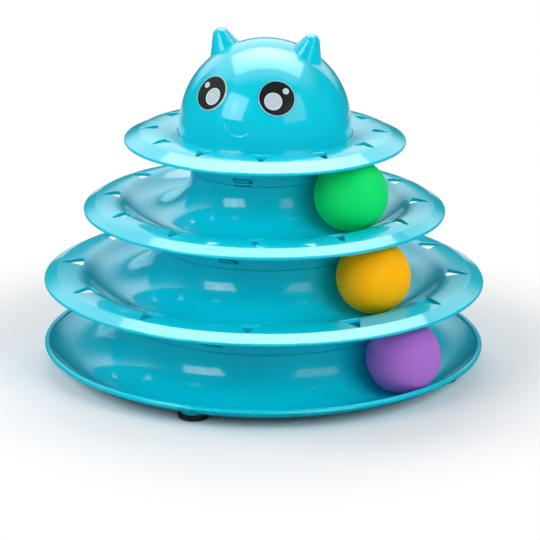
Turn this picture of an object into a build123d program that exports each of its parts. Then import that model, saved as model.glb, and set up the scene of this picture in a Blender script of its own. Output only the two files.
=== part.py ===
from build123d import *
import os
from math import asin, atan2, cos, degrees, radians, sin, sqrt, tan

# A tower of three ball tracks for a cat, with a cat's head on top.
# Lengths are in millimetres and angles in degrees.
# +Z is up, the face looks along -Y, and the origin is on the tower's axis at the floor.

# Balls, one loose in each track, turned from the face towards +X
ball_diameter = 40.0
ball_wall = 1.8
ball_gap = 0.3
green_ball_angle = 64.4
orange_ball_angle = 61.8
purple_ball_angle = 63.5

# Walls of every moulding, and what a cut overruns by
wall = 2.0
overrun = 3.0

# Foot pads and the bosses that they are stuck on
foot_count = 4
foot_pad_diameter = 16.3
foot_pad_thickness = 3.0
foot_pad_edge = 0.5
foot_boss_diameter = 13.7
foot_boss_sink = 1.0
foot_boss_fit = 0.1
foot_stand = 0.6

# Head: a dome on a short flared skirt
dome_radius = 47.3
skirt_height = 4.9
skirt_flare = 0.9

# Ears: round-tipped cones that lean outwards
ear_tip_radius = 4.7
ear_half_angle = 25.2
ear_lean = 20.7
ear_stand = 6.5
ear_spread_angle = 28.45
ear_root = 9.0

# Nose: a round recess with a bevelled rim, whose steep floor runs out into the dome above
nose_diameter = 16.4
nose_elevation = 14.2
nose_bevel = 55.0
nose_end_elevation = 15.1
nose_floor_lean = 5.3

# Eyes: printed discs, hollow behind to fit the dome and almost flat in front
eye_diameter = 19.4
eye_thickness = 0.3
eye_face_radius = 400.0
eye_glue = 0.05
eye_azimuth = 26.4
eye_elevation = 30.1

# Hooks of the head, through slots in the plate's deck
hook_count = 4
hook_start_angle = 45.0
hook_width = 8.0
hook_thickness = 1.8
hook_root = 9.0
hook_barb = 1.2
hook_barb_height = 2.2
hook_play = 0.2
hook_room = 2.5

# Tracks: hollows a little wider than a ball, one above the other
track_play = 2.8
track_headroom = 5.1
plate_headroom = 3.2
neck_step = 20.4

# Brims: a shoulder outside the track, a top that falls gently, then a steeper apron to a rounded lip
brim_rise = 6.6
shoulder_radius = 13.0
middle_brim_width = 10.2
middle_brim_drop = 0.85
middle_apron_width = 6.5
middle_apron_drop = 3.15
upper_brim_width = 9.4
upper_brim_drop = 1.8
upper_apron_width = 5.6
upper_apron_drop = 3.2
plate_brim_width = 8.0
plate_brim_drop = 1.2
plate_apron_width = 7.6
plate_apron_drop = 3.6

# Rim of the base: a rolled bead at the edge of the dish
base_rim_rise = 7.0
base_bead_radius = 1.6
base_bead_proud = 0.6

# Land of the plate, between the head and the crest of its brim
land_width = 12.7
land_drop = 1.3
seat_depth = 0.8
seat_gap = 0.4

# Vents: rounded triangles in each brim, pointing outwards
vent_count = 12
vent_start_angle = 15.0
vent_corner = 1.0
vent_edge = 0.4
middle_vent_inset = 3.6
middle_vent_length = 13.8
middle_vent_width = 13.6
upper_vent_inset = 4.2
upper_vent_length = 12.5
upper_vent_width = 11.3
plate_vent_inset = 2.4
plate_vent_length = 10.8
plate_vent_width = 9.8

# Snap joints: the spigot of a column inside the collar of the piece above
clip_count = 4
spigot_wall = 1.8
spigot_fit = 0.2
spigot_margin = 2.0
ledge_thickness = 3.0
seam_chamfer = 0.45
window_width = 11.0
window_height = 2.4
tray_window_rise = 3.3
plate_window_rise = 1.8
nub_play = 0.3
nub_recess = 0.5
nub_face_share = 0.45
pry_notch_width = 9.0
pry_notch_height = 0.7

# Each piece of the tower sits turned on the one below, within the play of its clips
level_turn = 1.2

# Sizes that follow from those above
track_section = ball_diameter / 2 + track_play
level_pitch = ball_diameter + track_headroom + wall - brim_rise
base_floor = foot_pad_thickness + foot_stand + wall
middle_floor = base_floor + level_pitch
upper_floor = middle_floor + level_pitch
dome_inner_radius = dome_radius - wall
upper_neck = dome_inner_radius - hook_thickness - hook_room
middle_neck = upper_neck + neck_step
base_neck = middle_neck + neck_step
plate_crest_height = upper_floor + ball_diameter + plate_headroom + wall
land_height = plate_crest_height - land_drop
seat_height = land_height - seat_depth
seat_radius = dome_radius + skirt_flare + seat_gap
plate_crest_radius = seat_radius + land_width
dome_center_height = seat_height + skirt_height
base_turn = -2 * level_turn
middle_turn = -level_turn
plate_turn = level_turn


def polar(center, radius, angle):
    return (center[0] + radius * cos(radians(angle)), center[1] + radius * sin(radians(angle)))


def arc(center, radius, start, end):
    middle = polar(center, radius, (start + end) / 2)
    return ThreePointArc(polar(center, radius, start), middle, polar(center, radius, end))


def chain(points):
    return [Line(a, b) for a, b in zip(points, points[1:])]


def spin(edges):
    # A closed section, with radius across and height up, turned round the tower's axis.
    return revolve(Plane.XZ * make_face(edges), axis=Axis.Z)


def aim(shape, azimuth, elevation):
    # Turns a shape that points up so that it points out of the dome in that direction.
    return Pos(0, 0, dome_center_height) * Rot(Z=azimuth) * Rot(X=90 - elevation) * shape


def track_center(neck, floor):
    return (neck + track_section, floor + track_section)


def seam_height(floor):
    return floor + track_section


def collar_inner_radius(neck):
    return neck - wall


def spigot_radius(neck):
    return collar_inner_radius(neck) - spigot_fit


def spigot_edges(neck, floor, window_rise, trough_end):
    # From the track's underside, round the spigot, to the ledge on which the next collar stands.
    seam = seam_height(floor)
    inner = spigot_radius(neck) - spigot_wall
    top = seam + window_rise + window_height + spigot_margin
    underside = seam - ledge_thickness
    return chain([
        trough_end,
        (inner, underside),
        (inner, top),
        (spigot_radius(neck), top),
        (spigot_radius(neck), seam),
        (neck, seam),
    ])


def trough_start_angle():
    # Where the underside of the track meets the underside of the ledge.
    return 180 + degrees(asin(ledge_thickness / (track_section + wall)))


def bend_radius(width, drop):
    # Radius of an arc that is level at one end and falls by the drop over the width.
    return (width**2 + drop**2) / (2 * drop)


def brim_edges(crest, width, drop, apron_width, apron_drop):
    # The upper face from the crest out, the rounded lip, and the underside back to the crest.
    # The two sides of the apron are parallel, and the underside's crease is on the mitre.
    radius = bend_radius(width, drop)
    center = (crest[0], crest[1] - radius)
    crease_angle = 90 - degrees(asin(width / radius))
    crease = polar(center, radius, crease_angle)
    lip = (crease[0] + apron_width, crease[1] - apron_drop)
    lip_angle = degrees(atan2(apron_width, apron_drop))
    mitre = wall / cos(radians((crease_angle - lip_angle) / 2))
    under_crease = polar(crease, -mitre, (crease_angle + lip_angle) / 2)
    under_middle = polar(center, radius - wall, (90 + crease_angle) / 2)
    return [
        arc(center, radius, 90, crease_angle),
        Line(crease, lip),
        arc(polar(lip, -wall / 2, lip_angle), wall / 2, lip_angle, lip_angle - 180),
        Line(polar(lip, -wall, lip_angle), under_crease),
        ThreePointArc(under_crease, under_middle, (crest[0], crest[1] - wall)),
    ]


def brim_crest(neck, floor):
    # The crest of the shoulder that meets the track's hollow in a smooth curve.
    reach = sqrt(brim_rise * (2 * track_section - brim_rise + 2 * shoulder_radius))
    return (neck + track_section + reach, floor + brim_rise)


def snap_nub(neck, floor, window_rise):
    # A wedge on the spigot: flat below, where it catches, and sloped above.
    root = spigot_radius(neck) - spigot_wall / 2
    tip = neck - nub_recess
    bottom = seam_height(floor) + window_rise + nub_play
    height = window_height - 2 * nub_play
    section = make_face(chain([
        (root, bottom),
        (tip, bottom),
        (tip, bottom + nub_face_share * height),
        (spigot_radius(neck), bottom + height),
        (root, bottom + height),
        (root, bottom),
    ]))
    half_width = window_width / 2 - nub_play - neck * tan(radians(level_turn))
    return extrude(Plane.XZ * section, amount=half_width, both=True)


def snap_nubs(neck, floor, window_rise):
    nub = snap_nub(neck, floor, window_rise)
    return [place * nub for place in PolarLocations(0, clip_count)]


def collar(neck, floor, top):
    # Stands on the ledge of the column below and reaches up to the wall that carries it.
    seam = seam_height(floor)
    inner = collar_inner_radius(neck)
    return spin(chain([
        (inner, seam),
        (neck - seam_chamfer, seam),
        (neck, seam + seam_chamfer),
        (neck, top),
        (inner, top),
        (inner, seam),
    ]))


def collar_windows(neck, floor, window_rise):
    height = seam_height(floor) + window_rise + window_height / 2
    window = Pos(0, 0, height) * Box(wall + 2 * overrun, window_width, window_height)
    return [place * window for place in PolarLocations(neck - wall / 2, clip_count)]


def pry_notches(neck, floor):
    notch = Box(wall + 2 * overrun, pry_notch_width, 2 * pry_notch_height)
    level = Pos(0, 0, seam_height(floor)) * notch
    return [place * level for place in PolarLocations(neck - wall / 2, clip_count)]


def cut_vents(piece, crest, inner_bend, outer_bend, inset, length, width):
    # The bends are the radii of the upper face on the two sides of the crest.
    inner = crest[0] - inset
    outline = Polyline((inner, -width / 2), (inner + length, 0), (inner, width / 2), close=True)
    triangle = make_face(outline)
    rounded = fillet(triangle.vertices(), vent_corner)
    lowest = crest[1] - wall - 2 * overrun
    cutter = Pos(0, 0, lowest) * extrude(rounded, amount=crest[1] + overrun - lowest)
    places = PolarLocations(0, vent_count, start_angle=vent_start_angle)
    vented = piece - [place * cutter for place in places]

    def on_upper_face(edge):
        middle = edge @ 0.5
        radius = sqrt(middle.X**2 + middle.Y**2)
        if not inner - vent_corner < radius < inner + length:
            return False
        bend = inner_bend if radius < crest[0] else outer_bend
        face_height = crest[1] - bend + sqrt(bend**2 - (radius - crest[0])**2)
        return abs(middle.Z - face_height) < wall / 4

    rims = vented.edges().filter_by(GeomType.BSPLINE).filter_by(on_upper_face)
    return fillet(rims, vent_edge)


def make_tray(neck, floor, brim_sizes, vent_sizes, window_rise, lower_neck, lower_floor):
    center = track_center(neck, floor)
    crest = brim_crest(neck, floor)
    shoulder = (crest[0], crest[1] - shoulder_radius)
    join = degrees(atan2(shoulder[1] - center[1], shoulder[0] - center[0]))
    underside = track_section + wall
    section = [
        arc(center, track_section, 180, 360 + join),
        arc(shoulder, shoulder_radius, 180 + join, 90),
        *brim_edges(crest, *brim_sizes),
        arc(shoulder, shoulder_radius - wall, 90, 180 + join),
        arc(center, underside, 360 + join, trough_start_angle()),
        *spigot_edges(neck, floor, window_rise, polar(center, underside, trough_start_angle())),
    ]
    offset = lower_neck - wall / 2 - center[0]
    collar_top = center[1] - sqrt((track_section + wall / 2)**2 - offset**2)
    tray = spin(section) + collar(lower_neck, lower_floor, collar_top)
    tray += snap_nubs(neck, floor, window_rise)
    tray -= collar_windows(lower_neck, lower_floor, tray_window_rise)
    return cut_vents(tray, crest, shoulder_radius, bend_radius(*brim_sizes[:2]), *vent_sizes)


def foot_places():
    return PolarLocations(base_neck + track_section, foot_count, start_angle=-90)


def make_base_tray():
    center = track_center(base_neck, base_floor)
    bead_height = base_floor + base_rim_rise - base_bead_radius
    bead_reach = track_section - base_bead_proud + base_bead_radius
    rim_angle = 360 - degrees(asin((center[1] - bead_height) / bead_reach))
    rim = polar(center, bead_reach, rim_angle)
    underside = track_section + wall
    dish = spin([
        arc(center, track_section, 180, rim_angle),
        Line(polar(center, track_section, rim_angle), polar(center, underside, rim_angle)),
        arc(center, underside, rim_angle, trough_start_angle()),
        *spigot_edges(base_neck, base_floor, tray_window_rise,
                      polar(center, underside, trough_start_angle())),
    ])
    bead = Pos(0, 0, rim[1]) * Torus(rim[0], base_bead_radius)
    boss_bottom = foot_pad_thickness - foot_boss_sink
    boss = Pos(0, 0, boss_bottom) * Cylinder(
        foot_boss_diameter / 2, base_floor + wall - boss_bottom,
        align=(Align.CENTER, Align.CENTER, Align.MIN))
    middle_of_wall = Pos(0, 0, center[1]) * Torus(center[0], track_section + wall / 2)
    bosses = [place * boss - middle_of_wall for place in foot_places()]
    return dish + bead + bosses + snap_nubs(base_neck, base_floor, tray_window_rise)


def make_middle_tray():
    brim_sizes = (middle_brim_width, middle_brim_drop, middle_apron_width, middle_apron_drop)
    vent_sizes = (middle_vent_inset, middle_vent_length, middle_vent_width)
    return make_tray(middle_neck, middle_floor, brim_sizes, vent_sizes, tray_window_rise, base_neck,
                     base_floor)


def make_upper_tray():
    brim_sizes = (upper_brim_width, upper_brim_drop, upper_apron_width, upper_apron_drop)
    vent_sizes = (upper_vent_inset, upper_vent_length, upper_vent_width)
    return make_tray(upper_neck, upper_floor, brim_sizes, vent_sizes, plate_window_rise, middle_neck,
                     middle_floor)


def hook_inner_radius():
    return dome_inner_radius - hook_thickness


def make_top_plate():
    crest = (plate_crest_radius, plate_crest_height)
    land_radius = bend_radius(land_width, land_drop)
    land_center = (crest[0], crest[1] - land_radius)
    land_angle = 90 + degrees(asin(land_width / land_radius))
    under_angle = 90 + degrees(asin((land_width - wall) / (land_radius - wall)))
    deck_bottom = seat_height - wall
    plate = spin([
        *chain([
            polar(land_center, land_radius - wall, under_angle),
            (seat_radius, deck_bottom),
            (0, deck_bottom),
            (0, seat_height),
            (seat_radius, seat_height),
            (seat_radius, land_height),
        ]),
        arc(land_center, land_radius, land_angle, 90),
        *brim_edges(crest, plate_brim_width, plate_brim_drop, plate_apron_width, plate_apron_drop),
        arc(land_center, land_radius - wall, 90, under_angle),
    ])
    plate += collar(upper_neck, upper_floor, seat_height - wall / 2)
    plate -= collar_windows(upper_neck, upper_floor, plate_window_rise)
    plate -= pry_notches(upper_neck, upper_floor)
    slot_radius = (hook_inner_radius() + dome_inner_radius) / 2
    slot = Pos(0, 0, seat_height) * Box(
        hook_thickness + 2 * hook_play, hook_width + 2 * hook_play, 2 * (wall + overrun))
    slot_angle = hook_start_angle - plate_turn
    plate -= [place * slot for place in PolarLocations(slot_radius, hook_count, slot_angle)]
    return cut_vents(plate, crest, land_radius, bend_radius(plate_brim_width, plate_brim_drop),
                     plate_vent_inset, plate_vent_length, plate_vent_width)


def dome_body(radius, foot_radius):
    # A half ball on a short skirt that widens to the foot.
    center = (0, dome_center_height)
    edge = (radius, dome_center_height)
    foot = (foot_radius, seat_height)
    side = TangentArc(edge, foot, tangent=(0, -1)) if foot_radius > radius else Line(edge, foot)
    return spin([
        arc(center, radius, 90, 0),
        side,
        *chain([foot, (0, seat_height), (0, dome_center_height + radius)]),
    ])


def ear_cone(tip_radius, depth):
    top = (0, tip_radius)
    foot = ((tip_radius + depth * sin(radians(ear_half_angle))) / cos(radians(ear_half_angle)), -depth)
    cone = spin([
        arc((0, 0), tip_radius, 90, ear_half_angle),
        *chain([polar((0, 0), tip_radius, ear_half_angle), foot, (0, -depth), top]),
    ])
    distance = dome_radius + ear_stand
    across = distance * sin(radians(ear_spread_angle))
    height = dome_center_height + distance * cos(radians(ear_spread_angle))
    return [Pos(side * across, 0, height) * Rot(Y=side * ear_lean) * cone for side in (-1, 1)]


def nose_core(depth):
    # All that lies behind the floor of the recess, by at least that depth.
    end_height = dome_center_height + dome_radius * sin(radians(nose_end_elevation))
    end_radius = dome_radius * cos(radians(nose_end_elevation)) - depth
    lean = dome_radius * tan(radians(nose_floor_lean))
    return Pos(0, 0, end_height) * Cone(end_radius + lean, end_radius - lean, 2 * dome_radius)


def nose_recess():
    radius = nose_diameter / 2
    rim_height = sqrt(dome_radius**2 - radius**2)
    reach = 2 * (dome_radius - rim_height)
    spread = reach * tan(radians(nose_bevel))
    bevel = Pos(0, 0, rim_height) * Cone(radius - spread, radius + spread, 2 * reach)
    return aim(bevel, 0, nose_elevation) - nose_core(0)


def nose_backing():
    # Keeps the wall behind the recess as thick as the rest.
    plug = Pos(0, 0, dome_radius) * Cylinder(nose_diameter / 2 + wall, dome_radius)
    backing = aim(plug, 0, nose_elevation) - nose_core(wall)
    return backing & dome_body(dome_radius, dome_radius + skirt_flare)


def head_hooks():
    inner = hook_inner_radius()
    outer = dome_inner_radius
    catch = seat_height - wall - hook_play
    section = make_face(chain([
        (inner, seat_height + hook_root),
        (outer + wall / 2, seat_height + hook_root),
        (outer + wall / 2, seat_height),
        (outer, seat_height),
        (outer, catch),
        (outer + hook_barb, catch),
        (outer, catch - hook_barb_height),
        (inner, catch - hook_barb_height),
        (inner, seat_height + hook_root),
    ]))
    hook = extrude(Plane.XZ * section, amount=hook_width / 2, both=True)
    return [place * hook for place in PolarLocations(0, hook_count, hook_start_angle)]


def make_head_dome():
    ear_depth = ear_stand + wall + ear_root
    head = dome_body(dome_radius, dome_radius + skirt_flare) + ear_cone(ear_tip_radius, ear_depth)
    head -= dome_body(dome_inner_radius, dome_inner_radius)
    head -= ear_cone(ear_tip_radius - wall, ear_depth)
    head += nose_backing()
    return head - nose_recess() + head_hooks()


def make_eye(side):
    inner = dome_radius + eye_glue
    outer = inner + eye_thickness
    back_edge = 90 - degrees(asin(eye_diameter / 2 / inner))
    face_center = (0, outer - eye_face_radius)
    face_edge = 90 - degrees(asin(eye_diameter / 2 / eye_face_radius))
    disc = spin([
        arc((0, 0), inner, 90, back_edge),
        Line(polar((0, 0), inner, back_edge), polar(face_center, eye_face_radius, face_edge)),
        arc(face_center, eye_face_radius, face_edge, 90),
        Line((0, outer), (0, inner)),
    ])
    return aim(disc, side * eye_azimuth, eye_elevation)


def make_ball(neck, floor, angle):
    radius = ball_diameter / 2
    ball = Sphere(radius) - Sphere(radius - ball_wall)
    return Rot(Z=angle) * Pos(0, -(neck + track_section), floor + ball_gap + radius) * ball


def make_foot_pad():
    bottom = (Align.CENTER, Align.CENTER, Align.MIN)
    pad = Cylinder(foot_pad_diameter / 2, foot_pad_thickness, align=bottom)
    pad = fillet(pad.edges(), foot_pad_edge)
    seat = Cylinder(foot_boss_diameter / 2 + foot_boss_fit, foot_boss_sink + overrun, align=bottom)
    return pad - Pos(0, 0, foot_pad_thickness - foot_boss_sink) * seat


nodes = {
    "base_tray": Rot(Z=base_turn) * make_base_tray(),
    "middle_tray": Rot(Z=middle_turn) * make_middle_tray(),
    "upper_tray": make_upper_tray(),
    "top_plate": Rot(Z=plate_turn) * make_top_plate(),
    "head_dome": make_head_dome(),
    "left_eye": make_eye(-1),
    "right_eye": make_eye(1),
    "green_ball": make_ball(upper_neck, upper_floor, green_ball_angle),
    "orange_ball": make_ball(middle_neck, middle_floor, orange_ball_angle),
    "purple_ball": make_ball(base_neck, base_floor, purple_ball_angle),
}
for name, place in zip(("front", "right", "rear", "left"), foot_places()):
    nodes[f"{name}_foot_pad"] = Rot(Z=base_turn) * place * make_foot_pad()

os.makedirs("parts", exist_ok=True)
for name, shape in nodes.items():
    export_step(shape, f"parts/{name}.step")
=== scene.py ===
import bpy
from math import cos, radians, sin
from mathutils import Matrix, Vector

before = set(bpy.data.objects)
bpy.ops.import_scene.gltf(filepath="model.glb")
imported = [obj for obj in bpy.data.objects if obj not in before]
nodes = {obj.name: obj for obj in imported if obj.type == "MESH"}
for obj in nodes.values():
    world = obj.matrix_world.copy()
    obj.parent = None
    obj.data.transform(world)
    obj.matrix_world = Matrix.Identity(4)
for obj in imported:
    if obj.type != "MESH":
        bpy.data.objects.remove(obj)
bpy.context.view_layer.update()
bpy.ops.object.select_all(action="DESELECT")
print("frame loaded,", len(nodes), "nodes")

millimetre = 0.001

# sockets of a colour Mix node, whose names repeat and so can't be used
mixShare, mixFirst, mixSecond, mixResult = 0, 6, 7, 2

# a noise texture's values lie mostly between these
noiseMiddle = (0.3, 0.7)


def linearColor(hexText):
    # sRGB hex to the linear values that shaders take
    channels = [int(hexText[i:i + 2], 16) / 255 for i in (1, 3, 5)]
    return [c / 12.92 if c <= 0.04045 else ((c + 0.055) / 1.055) ** 2.4 for c in channels] + [1.0]


plainWhite = linearColor("#FFFFFF")


def patternScale(sizeInMillimetres):
    # a texture's scale from the real size of its marks
    return 1 / (sizeInMillimetres * millimetre)


def addNode(tree, kind, inputs, **settings):
    # an input takes a value, or an output socket that is linked to it
    node = tree.nodes.new(kind)
    for name, value in settings.items():
        setattr(node, name, value)
    for name, value in inputs.items():
        if isinstance(value, bpy.types.NodeSocket):
            tree.links.new(value, node.inputs[name])
        else:
            node.inputs[name].default_value = value
    return node


def startMaterial(name):
    material = bpy.data.materials.new(name)
    material.use_nodes = True
    material.node_tree.nodes.clear()
    return material, material.node_tree


def varyRoughness(tree, noise, limits):
    # a roughness that follows a noise texture between two limits
    return addNode(tree, "ShaderNodeMapRange", {
        "Value": noise.outputs["Fac"], "From Min": noiseMiddle[0], "From Max": noiseMiddle[1],
        "To Min": limits[0], "To Max": limits[1]}).outputs["Result"]


def coat(nodeNames, material):
    for name in nodeNames:
        mesh = nodes[name].data
        mesh.materials.clear()
        mesh.materials.append(material)


# ABS, injection moulded in a polished tool: one clear cyan right through, a mirror-like skin that is
# faintly wavy, a pale haze around every bright reflection, and a slight drift of shade where the melt
# flowed. Sizes and heights are in millimetres, here and in the other finishes.
towerPlastic = {
    "color": "#00BDD2",
    "flowColor": "#00C3D8",
    "flowSize": 60.0,
    "flowDetail": 3.0,
    "flowTwist": 1.2,
    "skin": 1.0,
    "skinRoughness": (0.07, 0.11),
    "handlingSize": 16.0,
    "handlingDetail": 6.0,
    "handlingFineness": 0.65,
    "haze": 0.33,
    "hazeLevel": 0.06,
    "waveSize": 9.0,
    "waveDetail": 1.0,
    "waveHeight": 0.006,
    "grainSize": 0.7,        # finer on the toy, drawn coarse enough to show
    "grainDetail": 2.0,
    "grainHeight": 0.0006,
    "ior": 1.53,
}


def makeTowerPlastic():
    material, tree = startMaterial("polishedCyanAbs")
    place = addNode(tree, "ShaderNodeTexCoord", {}).outputs["Object"]
    flow = addNode(tree, "ShaderNodeTexNoise", {
        "Vector": place, "Scale": patternScale(towerPlastic["flowSize"]),
        "Detail": towerPlastic["flowDetail"], "Distortion": towerPlastic["flowTwist"]})
    body = addNode(tree, "ShaderNodeMix", {
        mixShare: flow.outputs["Fac"], mixFirst: linearColor(towerPlastic["color"]),
        mixSecond: linearColor(towerPlastic["flowColor"])}, data_type="RGBA")
    handling = addNode(tree, "ShaderNodeTexNoise", {
        "Vector": place, "Scale": patternScale(towerPlastic["handlingSize"]),
        "Detail": towerPlastic["handlingDetail"], "Roughness": towerPlastic["handlingFineness"]})
    wave = addNode(tree, "ShaderNodeTexNoise", {
        "Vector": place, "Scale": patternScale(towerPlastic["waveSize"]),
        "Detail": towerPlastic["waveDetail"]})
    grain = addNode(tree, "ShaderNodeTexNoise", {
        "Vector": place, "Scale": patternScale(towerPlastic["grainSize"]),
        "Detail": towerPlastic["grainDetail"]})
    waveBump = addNode(tree, "ShaderNodeBump", {
        "Distance": towerPlastic["waveHeight"] * millimetre, "Height": wave.outputs["Fac"]})
    grainBump = addNode(tree, "ShaderNodeBump", {
        "Distance": towerPlastic["grainHeight"] * millimetre, "Height": grain.outputs["Fac"],
        "Normal": waveBump.outputs["Normal"]})
    shader = addNode(tree, "ShaderNodeBsdfPrincipled", {
        "Base Color": body.outputs[mixResult], "Roughness": towerPlastic["haze"],
        "Specular IOR Level": towerPlastic["hazeLevel"], "IOR": towerPlastic["ior"],
        "Normal": grainBump.outputs["Normal"], "Coat Weight": towerPlastic["skin"],
        "Coat Roughness": varyRoughness(tree, handling, towerPlastic["skinRoughness"]),
        "Coat IOR": towerPlastic["ior"], "Coat Normal": grainBump.outputs["Normal"]})
    addNode(tree, "ShaderNodeOutputMaterial", {"Surface": shader.outputs["BSDF"]})
    return material


towerNodes = ["base_tray", "middle_tray", "upper_tray", "top_plate", "head_dome"]
coat(towerNodes, makeTowerPlastic())
print("tower finished")


# PET film, screen printed and glossy: flat black ink, with a big and a small pale grey spot in white rings
# as the eye's glints, and a pale bare edge. A glint takes its place on the disc, outwards from the nose and
# up, then the radius of its ring and of its grey.
eyePrint = {
    "domeHeight": 134.6,
    "turn": 26.4,
    "tilt": 59.9,
    "ink": "#16191A",
    "inkWorn": "#22282A",
    "ring": "#CFD9D7",
    "glint": "#A3B6C0",
    "glintPale": "#BBC8CE",
    "bigGlint": (-2.0, -1.7, 4.8, 4.25),
    "smallGlint": (5.1, 3.75, 1.65, 1.2),
    "bareEdge": "#BFD8DC",
    "inkReach": 9.5,
    "inkEdge": 0.12,
    "mottleSize": 2.2,
    "mottleDetail": 4.0,
    "waveSize": 3.5,
    "waveDetail": 1.0,
    "waveHeight": 0.004,
    "roughness": (0.10, 0.16),
    "specular": 0.3,
    "ior": 1.57,
}


def makeEyePrint(name, side):
    material, tree = startMaterial(name)
    place = addNode(tree, "ShaderNodeTexCoord", {}).outputs["Object"]
    onDisc = addNode(tree, "ShaderNodeMapping", {
        "Vector": place, "Location": (0, 0, eyePrint["domeHeight"] * millimetre),
        "Rotation": (radians(eyePrint["tilt"]), 0, radians(side * eyePrint["turn"]))},
        vector_type="TEXTURE")
    # the height over the disc is dropped
    flat = addNode(tree, "ShaderNodeVectorMath", {
        0: onDisc.outputs["Vector"], 1: (1, 1, 0)}, operation="MULTIPLY")
    mottle = addNode(tree, "ShaderNodeTexNoise", {
        "Vector": place, "Scale": patternScale(eyePrint["mottleSize"]),
        "Detail": eyePrint["mottleDetail"]})
    ink = addNode(tree, "ShaderNodeMix", {
        mixShare: mottle.outputs["Fac"], mixFirst: linearColor(eyePrint["ink"]),
        mixSecond: linearColor(eyePrint["inkWorn"])}, data_type="RGBA").outputs[mixResult]
    glint = addNode(tree, "ShaderNodeMix", {
        mixShare: mottle.outputs["Fac"], mixFirst: linearColor(eyePrint["glint"]),
        mixSecond: linearColor(eyePrint["glintPale"])}, data_type="RGBA").outputs[mixResult]
    prints = [(0, 0, eyePrint["inkReach"], ink)]
    for spot in ("bigGlint", "smallGlint"):
        out, up, ringRadius, glintRadius = eyePrint[spot]
        prints += [(out, up, ringRadius, linearColor(eyePrint["ring"])), (out, up, glintRadius, glint)]
    # each print lies over the ones before it
    colour = linearColor(eyePrint["bareEdge"])
    for out, up, radius, shade in prints:
        reach = addNode(tree, "ShaderNodeVectorMath", {
            0: flat.outputs["Vector"], 1: (side * out * millimetre, up * millimetre, 0)},
            operation="DISTANCE")
        inside = addNode(tree, "ShaderNodeMapRange", {
            "Value": reach.outputs["Value"], "From Min": (radius + eyePrint["inkEdge"]) * millimetre,
            "From Max": (radius - eyePrint["inkEdge"]) * millimetre})
        colour = addNode(tree, "ShaderNodeMix", {
            mixShare: inside.outputs["Result"], mixFirst: colour, mixSecond: shade},
            data_type="RGBA").outputs[mixResult]
    wave = addNode(tree, "ShaderNodeTexNoise", {
        "Vector": place, "Scale": patternScale(eyePrint["waveSize"]), "Detail": eyePrint["waveDetail"]})
    bump = addNode(tree, "ShaderNodeBump", {
        "Distance": eyePrint["waveHeight"] * millimetre, "Height": wave.outputs["Fac"]})
    shader = addNode(tree, "ShaderNodeBsdfPrincipled", {
        "Base Color": colour, "Roughness": varyRoughness(tree, mottle, eyePrint["roughness"]),
        "IOR": eyePrint["ior"], "Specular IOR Level": eyePrint["specular"],
        "Normal": bump.outputs["Normal"]})
    addNode(tree, "ShaderNodeOutputMaterial", {"Surface": shader.outputs["BSDF"]})
    return material


coat(["left_eye"], makeEyePrint("printedFilmLeft", -1))
coat(["right_eye"], makeEyePrint("printedFilmRight", 1))
print("eyes printed")


# Polypropylene, blow moulded and tumbled: strong even colour with light that spreads a little way under
# the skin, no mirror, a soft broad sheen and a fine tooth that shows only close to.
ballPlastic = {
    "colors": {"green_ball": "#00DA6C", "orange_ball": "#FFB200", "purple_ball": "#A46CC7"},
    "shadeDrift": 0.12,
    "driftSize": 14.0,
    "driftDetail": 4.0,
    "toothSize": 0.8,        # about 0.3 on the toy, drawn coarse enough to show
    "toothDetail": 3.0,
    "toothHeight": 0.012,
    "roughness": (0.52, 0.64),
    "specular": 0.14,
    "glow": 0.35,
    "glowDepth": 6.0,
    "glowSpread": (1.0, 1.0, 1.0),
    "ior": 1.49,
}


def makeBallPlastic(nodeName):
    material, tree = startMaterial(nodeName.replace("_ball", "SatinPolypropylene"))
    place = addNode(tree, "ShaderNodeTexCoord", {}).outputs["Object"]
    drift = addNode(tree, "ShaderNodeTexNoise", {
        "Vector": place, "Scale": patternScale(ballPlastic["driftSize"]),
        "Detail": ballPlastic["driftDetail"]})
    bright = linearColor(ballPlastic["colors"][nodeName])
    deep = [c * (1 - ballPlastic["shadeDrift"]) for c in bright[:3]] + [1.0]
    body = addNode(tree, "ShaderNodeMix", {
        mixShare: drift.outputs["Fac"], mixFirst: bright, mixSecond: deep}, data_type="RGBA")
    tooth = addNode(tree, "ShaderNodeTexNoise", {
        "Vector": place, "Scale": patternScale(ballPlastic["toothSize"]),
        "Detail": ballPlastic["toothDetail"]})
    bump = addNode(tree, "ShaderNodeBump", {
        "Distance": ballPlastic["toothHeight"] * millimetre, "Height": tooth.outputs["Fac"]})
    shader = addNode(tree, "ShaderNodeBsdfPrincipled", {
        "Base Color": body.outputs[mixResult],
        "Roughness": varyRoughness(tree, drift, ballPlastic["roughness"]),
        "Specular IOR Level": ballPlastic["specular"], "IOR": ballPlastic["ior"],
        "Subsurface Weight": ballPlastic["glow"], "Subsurface Radius": ballPlastic["glowSpread"],
        "Subsurface Scale": ballPlastic["glowDepth"] * millimetre, "Normal": bump.outputs["Normal"]})
    addNode(tree, "ShaderNodeOutputMaterial", {"Surface": shader.outputs["BSDF"]})
    return material


for ballName in ballPlastic["colors"]:
    coat([ballName], makeBallPlastic(ballName))
print("balls finished")


# EVA foam rubber, die cut: dull black with open pores and a little dust.
footRubber = {
    "color": "#131415",
    "dust": "#2A2B2C",
    "dustSize": 6.0,
    "dustDetail": 5.0,
    "poreSize": 0.9,
    "poreDepth": 0.05,
    "roughness": (0.78, 0.92),
    "ior": 1.5,
}


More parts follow.
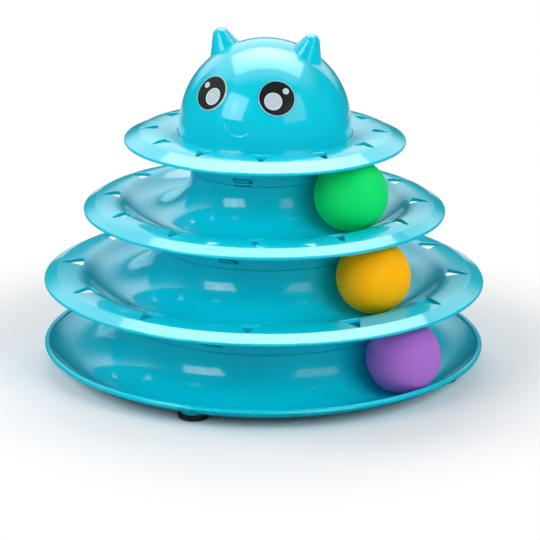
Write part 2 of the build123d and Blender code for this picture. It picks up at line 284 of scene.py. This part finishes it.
def makeFootRubber():
    material, tree = startMaterial("blackEvaFoam")
    place = addNode(tree, "ShaderNodeTexCoord", {}).outputs["Object"]
    pores = addNode(tree, "ShaderNodeTexVoronoi", {
        "Vector": place, "Scale": patternScale(footRubber["poreSize"])}, feature="F1")
    dust = addNode(tree, "ShaderNodeTexNoise", {
        "Vector": place, "Scale": patternScale(footRubber["dustSize"]),
        "Detail": footRubber["dustDetail"]})
    body = addNode(tree, "ShaderNodeMix", {
        mixShare: dust.outputs["Fac"], mixFirst: linearColor(footRubber["color"]),
        mixSecond: linearColor(footRubber["dust"])}, data_type="RGBA")
    bump = addNode(tree, "ShaderNodeBump", {
        "Distance": footRubber["poreDepth"] * millimetre, "Height": pores.outputs["Distance"]})
    shader = addNode(tree, "ShaderNodeBsdfPrincipled", {
        "Base Color": body.outputs[mixResult],
        "Roughness": varyRoughness(tree, dust, footRubber["roughness"]),
        "IOR": footRubber["ior"], "Normal": bump.outputs["Normal"]})
    addNode(tree, "ShaderNodeOutputMaterial", {"Surface": shader.outputs["BSDF"]})
    return material


coat([f"{side}_foot_pad" for side in ("front", "right", "rear", "left")], makeFootRubber())
print("feet finished")


# The camera stands a little to the right of the face and looks slightly down.
photoCamera = {
    "turn": 18.0,
    "rise": 16.8,
    "distance": 1.363,
    "target": (0, 0, 0.0602),
    "roll": 0.49,
    "pictureSize": 540,
    "focalPixels": 2446.0,
    "centerPixel": (264.1, 253.6),
    "sensorWidth": 36.0,
    "farthest": 20.0,
}


def aroundToy(turn, rise, distance):
    # a point seen from the toy: turned from the face towards its right, and raised
    turn, rise = radians(turn), radians(rise)
    return Vector((sin(turn) * cos(rise), -cos(turn) * cos(rise), sin(rise))) * distance


def addCamera():
    data = bpy.data.cameras.new("photoCamera")
    camera = bpy.data.objects.new("photoCamera", data)
    bpy.context.scene.collection.objects.link(camera)
    size = photoCamera["pictureSize"]
    data.sensor_width = photoCamera["sensorWidth"]
    data.lens = data.sensor_width * photoCamera["focalPixels"] / size
    across, down = photoCamera["centerPixel"]
    data.shift_x = (size / 2 - across) / size
    data.shift_y = (down - size / 2) / size
    data.clip_end = photoCamera["farthest"]
    target = Vector(photoCamera["target"])
    place = target + aroundToy(photoCamera["turn"], photoCamera["rise"], photoCamera["distance"])
    facing = (target - place).to_track_quat("-Z", "Y").to_matrix().to_4x4()
    camera.matrix_world = (
        Matrix.Translation(place) @ facing @ Matrix.Rotation(radians(photoCamera["roll"]), 4, "Z"))
    bpy.context.scene.camera = camera


addCamera()
print("camera placed")


# The room: white to the eye and a faint fill on the toy. In the toy's gloss it is dark, with paler corners
# above at both sides. Turns and rises are in degrees, seen from the camera with right as plus. A corner
# takes its strength, and the turns and the rises over which it comes in.
studioRoom = {
    "fill": 0.13,
    "frontGloss": 0.0,
    "corners": (
        (1.1, (60.0, 110.0), (32.0, 48.0)),
        (1.6, (-80.0, -110.0), (20.0, 40.0))),
}


def addTurn(tree, direction):
    # how far a direction is turned from the camera, in radians
    turned = addNode(tree, "ShaderNodeMapping", {
        "Vector": direction, "Rotation": (0, 0, radians(-photoCamera["turn"]))}, vector_type="POINT")
    parts = addNode(tree, "ShaderNodeSeparateXYZ", {"Vector": turned.outputs["Vector"]})
    nearer = addNode(tree, "ShaderNodeMath", {0: parts.outputs["Y"], 1: -1.0}, operation="MULTIPLY")
    return addNode(tree, "ShaderNodeMath", {
        0: parts.outputs["X"], 1: nearer.outputs["Value"]}, operation="ARCTAN2").outputs["Value"]


def lightRoom():
    world = bpy.data.worlds.new("studioRoom")
    bpy.context.scene.world = world
    world.use_nodes = True
    tree = world.node_tree
    tree.nodes.clear()
    direction = addNode(tree, "ShaderNodeTexCoord", {}).outputs["Generated"]
    turn = addTurn(tree, direction)
    parts = addNode(tree, "ShaderNodeSeparateXYZ", {"Vector": direction})
    rise = addNode(tree, "ShaderNodeMath", {0: parts.outputs["Z"]}, operation="ARCSINE").outputs["Value"]
    gloss = studioRoom["frontGloss"]
    for strength, turns, rises in studioRoom["corners"]:
        around = addNode(tree, "ShaderNodeMapRange", {
            "Value": turn, "From Min": radians(turns[0]), "From Max": radians(turns[1])},
            interpolation_type="SMOOTHSTEP")
        above = addNode(tree, "ShaderNodeMapRange", {
            "Value": rise, "From Min": radians(rises[0]), "From Max": radians(rises[1]),
            "To Max": strength}, interpolation_type="SMOOTHSTEP")
        light = addNode(tree, "ShaderNodeMath", {
            0: around.outputs["Result"], 1: above.outputs["Result"]}, operation="MULTIPLY")
        gloss = addNode(tree, "ShaderNodeMath", {
            0: gloss, 1: light.outputs["Value"]}, operation="MAXIMUM").outputs["Value"]
    ray = addNode(tree, "ShaderNodeLightPath", {})
    mirrored = addNode(tree, "ShaderNodeBackground", {"Color": plainWhite, "Strength": gloss})
    fill = addNode(tree, "ShaderNodeBackground", {"Color": plainWhite, "Strength": studioRoom["fill"]})
    white = addNode(tree, "ShaderNodeBackground", {"Color": plainWhite})
    onToy = addNode(tree, "ShaderNodeMixShader", {
        0: ray.outputs["Is Diffuse Ray"], 1: mirrored.outputs["Background"], 2: fill.outputs["Background"]})
    seen = addNode(tree, "ShaderNodeMixShader", {
        0: ray.outputs["Is Camera Ray"], 1: onToy.outputs["Shader"], 2: white.outputs["Background"]})
    addNode(tree, "ShaderNodeOutputWorld", {"Surface": seen.outputs["Shader"]})


lightRoom()
print("room lit")


# A white sweep: it keeps the toy's shadow near the middle and goes to plain white further out. In the
# toy's gloss it is pale behind the toy and dark elsewhere.
studioFloor = {
    "size": 12.0,
    "color": "#EDEEF0",
    "shadowReach": (0.145, 0.245),
    "behindTurn": (135.0, 155.0),
    "behindGloss": 0.7,
    "frontGloss": 0.02,
}


def addFloor():
    bpy.ops.mesh.primitive_plane_add(size=studioFloor["size"], location=(0, 0, 0))
    floor = bpy.context.object
    floor.name = "studioFloor"
    material, tree = startMaterial("whiteSweep")
    place = addNode(tree, "ShaderNodeTexCoord", {}).outputs["Object"]
    reach = addNode(tree, "ShaderNodeVectorMath", {0: place}, operation="LENGTH")
    near, far = studioFloor["shadowReach"]
    fade = addNode(tree, "ShaderNodeMapRange", {
        "Value": reach.outputs["Value"], "From Min": near, "From Max": far},
        interpolation_type="SMOOTHSTEP")
    ray = addNode(tree, "ShaderNodeLightPath", {})
    seen = addNode(tree, "ShaderNodeMath", {
        0: ray.outputs["Is Camera Ray"], 1: ray.outputs["Is Transmission Ray"]}, operation="MAXIMUM")
    share = addNode(tree, "ShaderNodeMath", {
        0: fade.outputs["Result"], 1: seen.outputs["Value"]}, operation="MULTIPLY")
    paper = addNode(tree, "ShaderNodeBsdfDiffuse", {"Color": linearColor(studioFloor["color"])})
    white = addNode(tree, "ShaderNodeEmission", {"Color": plainWhite})
    sweep = addNode(tree, "ShaderNodeMixShader", {
        0: share.outputs["Value"], 1: paper.outputs["BSDF"], 2: white.outputs["Emission"]})
    around = addNode(tree, "ShaderNodeMath", {0: addTurn(tree, place)}, operation="ABSOLUTE")
    start, end = studioFloor["behindTurn"]
    gloss = addNode(tree, "ShaderNodeMapRange", {
        "Value": around.outputs["Value"], "From Min": radians(start), "From Max": radians(end),
        "To Min": studioFloor["frontGloss"], "To Max": studioFloor["behindGloss"]},
        interpolation_type="SMOOTHSTEP")
    mirrored = addNode(tree, "ShaderNodeEmission", {
        "Color": plainWhite, "Strength": gloss.outputs["Result"]})
    mixed = addNode(tree, "ShaderNodeMixShader", {
        0: ray.outputs["Is Glossy Ray"], 1: sweep.outputs["Shader"], 2: mirrored.outputs["Emission"]})
    addNode(tree, "ShaderNodeOutputMaterial", {"Surface": mixed.outputs["Shader"]})
    floor.data.materials.append(material)


addFloor()
print("floor laid")

toyMiddle = Vector((0, 0, 0.09))


def facingToy(box):
    # a box's place and turn: it looks at the toy's middle or a point over it, or down where it is level
    turn = photoCamera["turn"]
    aimed = toyMiddle + Vector((0, 0, box.get("lift", 0)))
    place = aimed + aroundToy(turn + box["turn"], box["rise"], box["distance"])
    facing = (aimed - place).to_track_quat("-Z", "Y").to_matrix().to_4x4()
    if box["level"]:
        facing = Matrix.Rotation(radians(turn), 4, "Z")
    return Matrix.Translation(place) @ facing


# Lamps: they light the toy and the floor, and show in no gloss. Turns and rises as for the room, distances
# and sizes in metres, power in watts.
lamps = {
    "overhead": {
        "turn": 173.0, "rise": 68.0, "distance": 1.30, "size": (1.58, 1.01), "level": True,
        "power": 0.7},
    "left": {
        "turn": -49.0, "rise": 31.5, "distance": 1.40, "size": (0.84, 0.76), "level": False,
        "power": 8.2},
    "right": {
        "turn": 42.0, "rise": 31.0, "distance": 1.40, "size": (0.78, 0.78), "level": False,
        "power": 10.4},
    "front": {
        "turn": 0.0, "rise": 8.0, "distance": 1.80, "size": (1.2, 0.5), "level": False,
        "power": 2.4},
    "farLeft": {
        "turn": -100.0, "rise": 25.0, "distance": 1.60, "size": (0.9, 0.9), "level": False,
        "power": 8.2},
    "farRight": {
        "turn": 95.0, "rise": 25.0, "distance": 1.60, "size": (0.9, 0.9), "level": False,
        "power": 4.4},
    "back": {
        "turn": 180.0, "rise": 35.0, "distance": 1.60, "size": (1.2, 0.8), "level": False,
        "power": 8.5},
}


def addLamp(name, box):
    data = bpy.data.lights.new(name + "Lamp", "AREA")
    data.shape = "RECTANGLE"
    data.size, data.size_y = box["size"]
    data.energy = box["power"]
    lamp = bpy.data.objects.new(name + "Lamp", data)
    bpy.context.scene.collection.objects.link(lamp)
    lamp.matrix_world = facingToy(box)
    lamp.visible_glossy = False
    lamp.visible_camera = False


for lampName, lampBox in lamps.items():
    addLamp(lampName, lampBox)
print("lamps hung")


# Diffusers: what the gloss sees of the softboxes and of the white backdrop, with the brighter middle of
# real ones. The place of the middle and the reach of its glow are shares of the panel's size, across and
# up. The glow is full over the core's share of that reach.
diffusers = {
    "overhead": {
        "turn": 173.0, "rise": 65.5, "distance": 1.33, "size": (1.55, 1.2), "level": True,
        "edge": 5.2, "middle": 9.0, "middleAt": (0.0, 0.0), "spread": (0.55, 0.55), "core": 0.0},
    "ceiling": {
        "turn": 0.0, "rise": 63.0, "distance": 1.35, "size": (1.7, 1.25), "level": True,
        "edge": 0.0, "middle": 2.0, "middleAt": (0.0, 0.5), "spread": (1.6, 0.45), "core": 0.0},
    "left": {
        "turn": -47.0, "rise": 31.5, "distance": 1.40, "size": (0.72, 0.76), "level": False,
        "edge": 3.6, "middle": 6.0, "middleAt": (0.0, 0.0), "spread": (0.18, 0.5), "core": 0.0},
    "right": {
        "turn": 42.0, "rise": 31.0, "distance": 1.40, "size": (0.78, 0.78), "level": False,
        "edge": 1.2, "middle": 3.0, "middleAt": (0.0, 0.3), "spread": (0.5, 0.25), "core": 0.0},
    "backdrop": {
        "turn": 180.0, "rise": 0.0, "distance": 0.55, "lift": 0.29, "size": (1.1, 0.64), "level": False,
        "edge": 0.03, "middle": 1.5, "middleAt": (0.0, 0.35), "spread": (1.2, 0.695), "core": 0.55},
}


def addDiffuser(name, box):
    bpy.ops.mesh.primitive_plane_add(size=1)
    panel = bpy.context.object
    panel.name = name + "Diffuser"
    width, height = box["size"]
    panel.matrix_world = facingToy(box) @ Matrix.Diagonal((width, height, 1, 1))
    material, tree = startMaterial(name + "Glow")
    place = addNode(tree, "ShaderNodeTexCoord", {}).outputs["Object"]
    across, up = box["middleAt"]
    wide, tall = box["spread"]
    offset = addNode(tree, "ShaderNodeVectorMath", {0: place, 1: (across, up, 0)}, operation="SUBTRACT")
    offset = addNode(tree, "ShaderNodeVectorMath", {
        0: offset.outputs["Vector"], 1: (1 / wide, 1 / tall, 0)}, operation="MULTIPLY")
    reach = addNode(tree, "ShaderNodeVectorMath", {0: offset.outputs["Vector"]}, operation="LENGTH")
    glow = addNode(tree, "ShaderNodeMapRange", {
        "Value": reach.outputs["Value"], "From Min": 1.0, "From Max": box["core"],
        "To Min": box["edge"], "To Max": box["middle"]}, interpolation_type="SMOOTHSTEP")
    light = addNode(tree, "ShaderNodeEmission", {
        "Color": plainWhite, "Strength": glow.outputs["Result"]})
    addNode(tree, "ShaderNodeOutputMaterial", {"Surface": light.outputs["Emission"]})
    panel.data.materials.append(material)
    panel.visible_camera = False
    panel.visible_diffuse = False
    panel.visible_transmission = False
    panel.visible_shadow = False


for panelName, panelBox in diffusers.items():
    addDiffuser(panelName, panelBox)
print("diffusers hung")

bpy.context.scene.view_settings.view_transform = "Standard"
